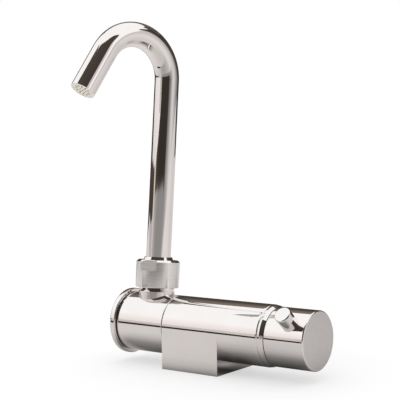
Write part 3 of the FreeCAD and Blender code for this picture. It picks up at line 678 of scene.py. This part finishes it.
def spout_tube():
    """Thin round tube carried along the spout's path, with a rounded rim at the outlet: a circle's point is
    centre + radius * (cos t * outward + sin t * sideways)."""
    centres, outwards, sideways, out_direction = spout_path()
    turn = full_turn(TUBE_TURN_STEPS)[:, None]
    wall_middle = (TUBE_RADIUS + TUBE_BORE) / 2
    wall_half = (TUBE_RADIUS - TUBE_BORE) / 2

    def skin(radius, places, directions):
        circle = np.cos(turn) * directions[:, None] + np.sin(turn) * sideways
        return places[:, None] + radius * circle

    def rim_circle(angle):
        place = centres[-1] - TUBE_RIM * out_direction + TUBE_RIM * math.sin(angle) * out_direction
        return skin(wall_middle + wall_half * math.cos(angle), place[None], outwards[-1:])[0]

    rim = np.stack([rim_circle(angle) for angle in spaced(0.0, math.pi, TUBE_RIM_STEPS)])
    outside = skin(TUBE_RADIUS, centres[:-1], outwards[:-1])
    inside = skin(TUBE_BORE, centres[:-1], outwards[:-1])
    foot = ruled(outside[0], inside[0])
    return mesh_of("spout_tube_plated", [outside, rim, inside, foot])


def trim_collar():
    """Narrow ring that closes the barrel and slopes down to the knob."""
    profile = rounded([
        (COLLAR_SPIGOT, COLLAR_BORE),
        (COLLAR_SPIGOT, CHAMBER_RADIUS - CLOSE_FIT),
        (BARREL_END, CHAMBER_RADIUS - CLOSE_FIT),
        (BARREL_END, COLLAR_RADIUS, COLLAR_EDGE),
        (COLLAR_RIGHT - COLLAR_SLOPE, COLLAR_RADIUS),
        (COLLAR_RIGHT, COLLAR_RADIUS - COLLAR_DROP),
        (COLLAR_RIGHT, COLLAR_BORE),
        (COLLAR_SPIGOT, COLLAR_BORE),
    ])
    return mesh_of("trim_collar_plated", [turned(barrel_axes, profile)])


def end_washer():
    """Dark slip ring in the joint between head and end cap."""
    low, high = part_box("end_washer")
    profile = [
        (low.x, HEAD_BORE),
        (low.x, high.y),
        (high.x, high.y),
        (high.x, HEAD_BORE),
        (low.x, HEAD_BORE),
    ]
    return mesh_of("end_washer_ring", [turned(barrel_axes, profile)])


def knob_shell():
    """Round knob with the peg's stepped seat on one side and the set screw's hole on the other. Its end face
    is the second patch."""
    left = KNOB_LEFT + KNOB_FRONT_ROUND
    right = KNOB_RIGHT - KNOB_END_ROUND
    seat_radius = PEG_RADIUS + CLOSE_FIT
    stem_radius = PEG_STEM + CLOSE_FIT
    seat_floor = PEG_STEM_END - CLOSE_FIT
    holes = [(PEG_X, PEG_ANGLE, seat_radius), (PEG_X, PEG_ANGLE + math.pi, GRUB_RADIUS)]
    patches, angles, rims = drilled_barrel(barrel_axes, KNOB_RADIUS, left, right, holes)
    profile = rounded([
        (KNOB_RIGHT, 0.0),
        (KNOB_RIGHT, KNOB_RADIUS, KNOB_END_ROUND),
        (KNOB_LEFT, KNOB_RADIUS, KNOB_FRONT_ROUND),
        (KNOB_LEFT, KNOB_CAVITY),
        (KNOB_FLOOR, KNOB_CAVITY),
        (KNOB_FLOOR, INSERT_RADIUS),
        (INSERT_RIGHT, INSERT_RADIUS),
        (INSERT_RIGHT, 0.0),
    ])
    # The profile's first row is the face's centre, and the points of the end's arc come next
    end_arc = 2 + ROUND_STEPS
    face = turned(barrel_axes, profile[:2], angles)
    patches.append(turned(barrel_axes, profile[1:end_arc], angles))
    patches.append(turned(barrel_axes, profile[end_arc:], angles))
    seat = [
        (PEG_SEAT, seat_radius),
        (PEG_SEAT, stem_radius),
        (seat_floor, stem_radius),
        (seat_floor, 0.0),
    ]
    patches.append(stand(peg_axes, -rims[0], seat_radius, KNOB_RADIUS, seat))
    screw_hole = [(GRUB_FLOOR, GRUB_RADIUS), (GRUB_FLOOR, 0.0)]
    patches.append(stand(grub_axes, -rims[1], GRUB_RADIUS, KNOB_RADIUS, screw_hole))
    return mesh_of("knob_shell_plated", patches, [face])


def knob_peg():
    """Short round handle peg with a softened tip and the stem that holds it in the knob."""
    profile = rounded([
        (PEG_STEM_END, 0.0),
        (PEG_STEM_END, PEG_STEM),
        (PEG_SEAT, PEG_STEM),
        (PEG_SEAT, PEG_RADIUS),
        (PEG_REACH, PEG_RADIUS, PEG_TIP_ROUND),
        (PEG_REACH, 0.0),
    ])
    return mesh_of("knob_peg_plated", [turned(peg_axes, profile)])


class Nodes:
    """Small helper that adds and links the nodes of one material."""

    def __init__(self, name):
        self.material = bpy.data.materials.new(name)
        self.material.use_nodes = True
        self.tree = self.material.node_tree
        self.shader = self.tree.nodes["Principled BSDF"]
        self.place = self.tree.nodes.new("ShaderNodeTexCoord").outputs["Object"]

    def set(self, sockets):
        """Sets the shader's own sockets."""
        for name, value in sockets.items():
            self.shader.inputs[name].default_value = value

    def link(self, value, socket):
        """Links a value to one of the shader's sockets."""
        self.tree.links.new(value, self.shader.inputs[socket])

    def noise(self, scale, detail):
        """Cloudy pattern with the given number of cells in a metre."""
        noise = self.tree.nodes.new("ShaderNodeTexNoise")
        noise.inputs["Scale"].default_value = scale
        noise.inputs["Detail"].default_value = detail
        self.tree.links.new(self.place, noise.inputs["Vector"])
        return noise.outputs["Fac"]

    def along(self, direction):
        """Distance from the origin along a direction, in metres."""
        product = self.tree.nodes.new("ShaderNodeVectorMath")
        product.operation = "DOT_PRODUCT"
        product.inputs[1].default_value = direction
        self.tree.links.new(self.place, product.inputs[0])
        return product.outputs["Value"]

    def span(self, value, low, high, start=NOISE_LOW, end=NOISE_HIGH):
        """The value's stretch from start to end mapped to the range low to high."""
        span = self.tree.nodes.new("ShaderNodeMapRange")
        span.inputs["From Min"].default_value = start
        span.inputs["From Max"].default_value = end
        span.inputs["To Min"].default_value = low
        span.inputs["To Max"].default_value = high
        self.tree.links.new(value, span.inputs["Value"])
        return span.outputs["Result"]

    def colours(self, value, low, high):
        """The pattern's middle stretch mapped between two colours."""
        ramp = self.tree.nodes.new("ShaderNodeValToRGB")
        ramp.color_ramp.elements[0].position = NOISE_LOW
        ramp.color_ramp.elements[1].position = NOISE_HIGH
        ramp.color_ramp.elements[0].color = (*low, 1.0)
        ramp.color_ramp.elements[1].color = (*high, 1.0)
        self.tree.links.new(value, ramp.inputs["Fac"])
        return ramp.outputs["Color"]

    def bump(self, value, height):
        """Relief of the given height, in metres."""
        bump = self.tree.nodes.new("ShaderNodeBump")
        bump.inputs["Strength"].default_value = 1.0
        bump.inputs["Distance"].default_value = height
        self.tree.links.new(value, bump.inputs["Height"])
        self.link(bump.outputs["Normal"], "Normal")


def finish_of(name, low, high, metallic, roughness, grain, relief=0.0):
    """Material whose colour and roughness wander between two values over a grain, with a fine relief."""
    nodes = Nodes(name)
    nodes.set({"Metallic": metallic})
    pattern = nodes.noise(grain, GRAIN_DETAIL)
    nodes.link(nodes.colours(pattern, low, high), "Base Color")
    nodes.link(nodes.span(pattern, *roughness), "Roughness")
    if relief > 0.0:
        nodes.bump(nodes.noise(grain * RELIEF_FINENESS, RELIEF_DETAIL), relief)
    return nodes.material


def turned_satin():
    """Plating over a turned surface: fine lines round the riser, which spread what it mirrors along it."""
    nodes = Nodes("turned_satin")
    nodes.set({"Metallic": 1.0, "Anisotropic": 1.0})
    lines = nodes.tree.nodes.new("ShaderNodeTexNoise")
    lines.noise_dimensions = "1D"
    lines.inputs["Scale"].default_value = LINES_IN_A_METRE
    nodes.tree.links.new(nodes.along(RISER), lines.inputs["W"])
    nodes.link(nodes.colours(lines.outputs["Fac"], (0.86, 0.85, 0.83), (0.95, 0.94, 0.92)), "Base Color")
    nodes.link(nodes.span(lines.outputs["Fac"], 0.13, 0.17), "Roughness")
    axis = nodes.tree.nodes.new("ShaderNodeVectorTransform")
    axis.vector_type = "VECTOR"
    axis.convert_from = "OBJECT"
    axis.convert_to = "WORLD"
    axis.inputs["Vector"].default_value = RISER
    nodes.link(axis.outputs["Vector"], "Tangent")
    return nodes.material


def cream_with_painted_slot_shade():
    """Cream moulding with painted shade in the slots behind its face: its colour darkens to brown with the
    depth in the tube.
    """
    nodes = Nodes("cream_plastic")
    pattern = nodes.noise(CREAM_GRAIN, GRAIN_DETAIL)
    centres, _, _, out_direction = spout_path()
    face = centres[-1] @ out_direction - AERATOR_RECESS
    share = nodes.span(nodes.along(out_direction), 0.0, 1.0, face - SLOT_SHADE_DEPTH, face)
    # Painted shade: the dark colour deep in the slots, where light hardly reaches
    painted_slot_shade = nodes.colours(pattern, (0.10, 0.06, 0.035), (0.16, 0.10, 0.06))
    cream = nodes.colours(pattern, (0.72, 0.66, 0.56), (0.82, 0.77, 0.68))
    blend = nodes.tree.nodes.new("ShaderNodeMix")
    blend.data_type = "RGBA"
    nodes.tree.links.new(share, blend.inputs["Factor"])
    nodes.tree.links.new(painted_slot_shade, blend.inputs["A"])
    nodes.tree.links.new(cream, blend.inputs["B"])
    nodes.link(blend.outputs["Result"], "Base Color")
    nodes.link(nodes.span(pattern, 0.35, 0.50), "Roughness")
    return nodes.material


# Finishes: two colours, how metallic, the range of roughness, and the grain's cells in a metre. The wide
# grain of the plating leaves faint wiping marks in its gloss.
plating = finish_of("chrome", (0.91, 0.885, 0.87), (0.94, 0.915, 0.90), 1.0, (0.02, 0.05), 60.0)
satin = turned_satin()
faced = finish_of("faced", (0.735, 0.72, 0.705), (0.775, 0.76, 0.745), 1.0, (0.36, 0.40), 300.0)
brass = finish_of("brass", (0.70, 0.52, 0.25), (0.82, 0.63, 0.33), 1.0, (0.22, 0.36), 500.0)
steel = finish_of("steel", (0.50, 0.50, 0.50), (0.62, 0.61, 0.60), 1.0, (0.22, 0.38), 700.0)
strainer_mesh = finish_of("strainer_mesh", (0.03, 0.02, 0.015), (0.16, 0.11, 0.08), 0.3, (0.5, 0.7), 1600.0)
rubber = finish_of(
    "rubber", (0.012, 0.012, 0.012), (0.030, 0.030, 0.030), 0.0, (0.55, 0.75), 900.0, RUBBER_RELIEF)
dark_nylon = finish_of("dark_nylon", (0.012, 0.011, 0.010), (0.024, 0.022, 0.020), 0.0, (0.40, 0.55), 900.0)
white_nylon = finish_of("white_nylon", (0.74, 0.73, 0.70), (0.82, 0.81, 0.78), 0.0, (0.40, 0.55), 700.0)
cream_plastic = cream_with_painted_slot_shade()
ceramic = finish_of("ceramic", (0.76, 0.74, 0.68), (0.84, 0.82, 0.77), 0.0, (0.12, 0.22), 800.0)
FINISHES = {
    "chrome": plating, "brass": brass, "steel": steel, "rubber": rubber, "dark_nylon": dark_nylon,
    "white_nylon": white_nylon, "cream_plastic": cream_plastic, "ceramic": ceramic,
}


def wear(piece, *materials):
    """Gives a piece its materials, one for each of its slots. Clearing the slots resets the faces' choice of
    slot, so a new piece isn't cleared."""
    if len(piece.data.materials) > 0:
        piece.data.materials.clear()
    for material in materials:
        piece.data.materials.append(material)


for entry in frame["record"]["subparts"]:
    wear(frame["nodes"][entry["node"]], FINISHES[entry["material_slot"]])
wear(frame["nodes"]["aerator_strainer"], strainer_mesh)

# Each plated piece with its body, the node that it stands for, and the material of its second patches
PLATED = [
    (body_casting, "base", "valve_body", plating),
    (end_cap, "base", "end_cap", plating),
    (trim_collar, "base", "trim_collar", plating),
    (head_casting, "head", "folding_head", plating),
    (union_nut, "head", "union_nut", satin),
    (spout_tube, "spout", "spout_tube", plating),
    (knob_shell, "knob", "knob_shell", faced),
    (knob_peg, "knob", "knob_peg", plating),
]
for make, body, node, second in PLATED:
    piece = make()
    wear(piece, plating, second)
    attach(piece, body)
    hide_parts(node)

washer_ring = end_washer()
wear(washer_ring, dark_nylon)
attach(washer_ring, "base")
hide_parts("end_washer")


def stage_sheet(name, points):
    """Piece of the studio: an open grid of points."""
    mesh = bpy.data.meshes.new(name)
    mesh.from_pydata(points.reshape(-1, 3), [], grid_quads(*points.shape[:2]))
    sheet = bpy.data.objects.new(name, mesh)
    bpy.context.scene.collection.objects.link(sheet)
    return sheet


def floor():
    """Pale floor that keeps the tap's shadow, lifted to white by a glow of its own."""
    nodes = Nodes("floor_white")
    nodes.set({"Base Color": GREY, "Roughness": 0.9})
    nodes.set({"Emission Color": WHITE, "Emission Strength": FLOOR_GLOW})
    edge = np.array([-FLOOR_REACH, FLOOR_REACH])
    x, y = np.meshgrid(edge, edge)
    sheet = stage_sheet("floor", np.stack([x, y, np.zeros_like(x)], -1))
    sheet.visible_glossy = False
    wear(sheet, nodes.material)


def surroundings():
    """Even white world, seen as white by the camera, gloss and glass, and a softer light for the rest."""
    world = bpy.data.worlds.new("studio")
    world.use_nodes = True
    tree = world.node_tree
    background = tree.nodes["Background"]
    background.inputs["Color"].default_value = WHITE
    path = tree.nodes.new("ShaderNodeLightPath")
    seen = path.outputs["Is Camera Ray"]
    for ray in ("Is Glossy Ray", "Is Transmission Ray"):
        either = tree.nodes.new("ShaderNodeMath")
        either.operation = "MAXIMUM"
        tree.links.new(seen, either.inputs[0])
        tree.links.new(path.outputs[ray], either.inputs[1])
        seen = either.outputs["Value"]
    strength = tree.nodes.new("ShaderNodeMapRange")
    strength.inputs["To Min"].default_value = SOFT_LIGHT
    strength.inputs["To Max"].default_value = 1.0
    tree.links.new(seen, strength.inputs["Value"])
    tree.links.new(strength.outputs["Result"], background.inputs["Strength"])
    bpy.context.scene.world = world


def camera():
    """Camera at the photograph's view: its place and its axes in the shared frame, and its lens."""
    level_share = math.cos(CAMERA_ELEVATION)
    back = np.array([
        math.sin(CAMERA_AZIMUTH) * level_share,
        -math.cos(CAMERA_AZIMUTH) * level_share,
        math.sin(CAMERA_ELEVATION),
    ])
    level = np.array([math.cos(CAMERA_AZIMUTH), math.sin(CAMERA_AZIMUTH), 0.0])
    right = math.cos(CAMERA_ROLL) * level + math.sin(CAMERA_ROLL) * np.cross(back, level)
    top = np.cross(back, right)
    place = CAMERA_TARGET + CAMERA_TO_RIGHT * right + CAMERA_TO_TOP * top + CAMERA_DISTANCE * back
    data = bpy.data.cameras.new("camera")
    data.sensor_width = SENSOR_WIDTH
    data.lens = LENS
    view = bpy.data.objects.new("camera", data)
    matrix = np.eye(4)
    matrix[:3, :] = np.column_stack([right, top, back, place])
    view.matrix_world = Matrix(matrix.tolist())
    bpy.context.scene.collection.objects.link(view)
    bpy.context.scene.camera = view


def tone_material():
    """Glow of the tone stored in a sheet's points."""
    nodes = Nodes("studio_tone")
    nodes.set({"Base Color": BLACK, "Roughness": 1.0, "Specular IOR Level": 0.0, "Emission Strength": 1.0})
    stored = nodes.tree.nodes.new("ShaderNodeAttribute")
    stored.attribute_name = "tone"
    nodes.link(stored.outputs["Color"], "Emission Color")
    return nodes.material


studio_tone = tone_material()


def glowing(name, points, tones, tint):
    """Sheet of the studio that is seen in the plating alone, with a tone at each point and a common tint."""
    sheet = stage_sheet(name, points)
    colours = np.ones((tones.size, 4))
    colours[:, :3] = tones.reshape(-1, 1) * np.array(tint)
    stored = sheet.data.attributes.new("tone", "FLOAT_COLOR", "POINT")
    stored.data.foreach_set("color", colours.astype(np.float32).ravel())
    wear(sheet, studio_tone)
    sheet.visible_camera = False
    sheet.visible_diffuse = False
    sheet.visible_shadow = False
    sheet.visible_transmission = False


def between(stops, places):
    """Values of the stops, rows of (place, value, ...), at the places between them."""
    columns = np.array(stops, float).T
    return [np.interp(places, columns[0], column) for column in columns[1:]]


def tabletop(shadow, tones, spots):
    """Tabletop as the plating mirrors it. The shadow's stops are (distance from the barrel's outline in
    metres, share of light), the tones' are (azimuth, tone), and a spot is (x, y, size, share of light that
    it adds or takes), which fades out as exp(-(distance / size) ** 2)."""
    azimuths = np.arange(-180.0, 180.0 + TABLE_AZIMUTH_STEP / 2, TABLE_AZIMUTH_STEP)
    radii = TABLE_REACH * spaced(0.0, 1.0, TABLE_RINGS) ** TABLE_RING_GROWTH
    a = np.radians(azimuths)
    x = radii[:, None] * np.sin(a)
    y = -radii[:, None] * np.cos(a)
    beyond_x = np.abs(x - (CAP_OUTER + KNOB_RIGHT) / 2) - (KNOB_RIGHT - CAP_OUTER) / 2
    beyond_y = np.abs(y) - BARREL_RADIUS
    outside = np.hypot(np.maximum(beyond_x, 0.0), np.maximum(beyond_y, 0.0))
    distance = outside + np.minimum(np.maximum(beyond_x, beyond_y), 0.0)
    tone = between(shadow, distance)[0] * between(tones, azimuths)[0]
    for spot_x, spot_y, size, gain in spots:
        tone *= 1 + gain * np.exp(-((x - spot_x) ** 2 + (y - spot_y) ** 2) / size ** 2)
    glowing("tabletop", np.stack([x, y, np.full_like(x, TABLE_LIFT)], -1), tone, WARM)


def card(name, distance, tint, stops):
    """Curved card round the tap. The point at azimuth a, counted from -Y towards +X, and elevation e is
    (D sin a, -D cos a, D tan e) from the barrel's axis. A stop is (azimuth, low edge, high edge, tone), or
    it ends in two tones, for the low and the high edge."""
    rows = [(*stop, stop[-1])[:5] for stop in stops]
    azimuths = np.arange(rows[0][0], rows[-1][0] + CARD_AZIMUTH_STEP / 2, CARD_AZIMUTH_STEP)
    low, high, low_tone, high_tone = between(rows, azimuths)
    share = spaced(0.0, 1.0, CARD_RINGS)[:, None]
    a = np.radians(azimuths)
    e = np.radians(low + (high - low) * share)
    height = AXIS_HEIGHT + distance * np.tan(e)
    points = np.broadcast_arrays(distance * np.sin(a), -distance * np.cos(a), height)
    glowing(name, np.stack(points, -1), low_tone + (high_tone - low_tone) * share, tint)


floor()
surroundings()
camera()
# Painted light on the tabletop: the tap's painted shadow, darkest under the barrel, and spots of painted
# shade and painted light round it
tabletop(
    shadow=[
        (-0.018, 0.06), (-0.008, 0.17), (0.0, 0.34), (0.008, 0.64), (0.016, 0.84), (0.032, 1.0),
        (0.06, 1.04)],
    tones=[
        (-180, 0.66), (-100, 0.72), (-60, 0.65), (-20, 0.60), (20, 0.55), (60, 0.58), (90, 0.64),
        (132, 0.62), (180, 0.66)],
    spots=[
        (0.045, 0.055, 0.042, -0.93), (0.025, -0.006, 0.009, -0.6), (0.037, 0.010, 0.007, 2.2),
        (0.05, 0.23, 0.08, -0.5), (-0.048, 0.012, 0.017, 1.7)])

# The table's dark edge draws the line along the barrel's front
card("far_edge", TABLE_EDGE_DISTANCE, DARK, [(-52, -7.0, 1.6, 0.03), (-18, -7.0, 1.6, 0.03)])

# Soft tones all round, below and above the horizon
card("low_wall", WALL_DISTANCE, WARM, [(azimuth, WALL_FOOT, HORIZON, tone) for azimuth, tone in [
    (-180, 0.66), (-100, 0.70), (-60, 0.68), (-20, 0.54), (0, 0.38), (25, 0.38), (60, 0.52), (80, 0.74),
    (120, 0.72), (150, 0.62), (180, 0.66)]])
card("left_card", LEFT_DISTANCE, WARM, [
    (-128, HORIZON, 30, 0.62, 1.0), (-90, HORIZON, 30, 0.70, 1.0), (-5, HORIZON, 30, 0.75, 1.0)])
card("haze", HAZE_DISTANCE, WARM, [(azimuth, HORIZON, *rest) for azimuth, *rest in [
    (-128, 2, 0.60), (-90, 2, 0.46), (-60, 4, 0.46), (-44, 5.6, 0.46), (-42, 5.8, 0.55), (-31, 7, 0.62),
    (-29, 7.2, 0.42), (-20, 8, 0.38), (-8, 9, 0.31), (0, 9, 0.27), (45, 9, 0.28, 0.26), (60, 9, 0.34, 0.15),
    (76, 9, 0.44, 0.18), (87, 9, 0.55, 0.38), (94, 7, 0.64, 0.55), (104, 7, 0.68), (118, 28, 0.56),
    (130, 28, 0.42), (140, 28, 0.30, 0.20), (155, 28, 0.20, 0.10), (180, 20, 0.10)]])

# Dark cards: a low strip at the left, a tall card in front with a grey edge, and one behind with a paler top
card("low_strip", DARK_DISTANCE, DARK, [
    (-135, -6.0, 12.0, 0.05), (-112, -3.0, 9.0, 0.05), (-94, -0.5, 7.5, 0.05), (-83, 1.3, 3.8, 0.055),
    (-72, 1.9, 5.2, 0.055), (-60, 3.0, 6.0, 0.055), (-45, 4.5, 7.1, 0.055), (-42, 4.9, 7.4, 0.60),
    (-31, 6.4, 8.5, 0.60), (-28, 6.7, 8.9, 0.055), (-21, 7.2, 9.8, 0.05), (-5, 7.8, 12.5, 0.04)])
card("front_card", DARK_DISTANCE, DARK, [(*stop, FRONT_TOP_TONE) for stop in [
    (-40, 53, 57, 0.06), (-30, 32, 58, 0.05), (-8, 12, 59, 0.032), (-5, 7.8, 59, 0.032),
    (20, 7.5, 60, 0.032), (42, 6.6, 60, 0.032), (60, 4.8, 59, 0.036), (63, 8.0, 58.5, 0.036),
    (75, 20, 56, 0.045), (85, 26, 50, 0.05), (95, 31, 38, 0.05)]])
card("side_haze", SIDE_HAZE_DISTANCE, WARM, [
    (60, 4, 5, 0.10), (63, 8, 9, 0.14), (75, 9, 20, 0.20, 0.35), (85, 9, 26, 0.36, 0.60),
    (95, 7, 31, 0.55, 0.85)])
card("back_card", DARK_DISTANCE, DARK, [
    (118, 29, 33, 0.05), (125, 27, 37, 0.05), (145, 14, 40, 0.05), (160, 0, 35, 0.05), (168, -2.5, 32, 0.05),
    (200, -2.5, 24, 0.05, 0.06), (210, -8, 24, 0.05, 0.06), (228, -8, 24, 0.05, 0.06),
    (242, -5, 26, 0.05, 0.06), (252, 12, 34, 0.05, 0.06)])
card("back_top", DARK_DISTANCE, DARK, [
    (145, 40, 46, 0.05, 0.08), (175, 30, 47, 0.06, 0.12), (200, 24, 46, 0.06, 0.21),
    (228, 24, 46, 0.06, 0.21), (242, 26, 45, 0.06, 0.16), (252, 34, 44, 0.06, 0.10)])
bpy.context.scene.view_settings.view_transform = "Standard"
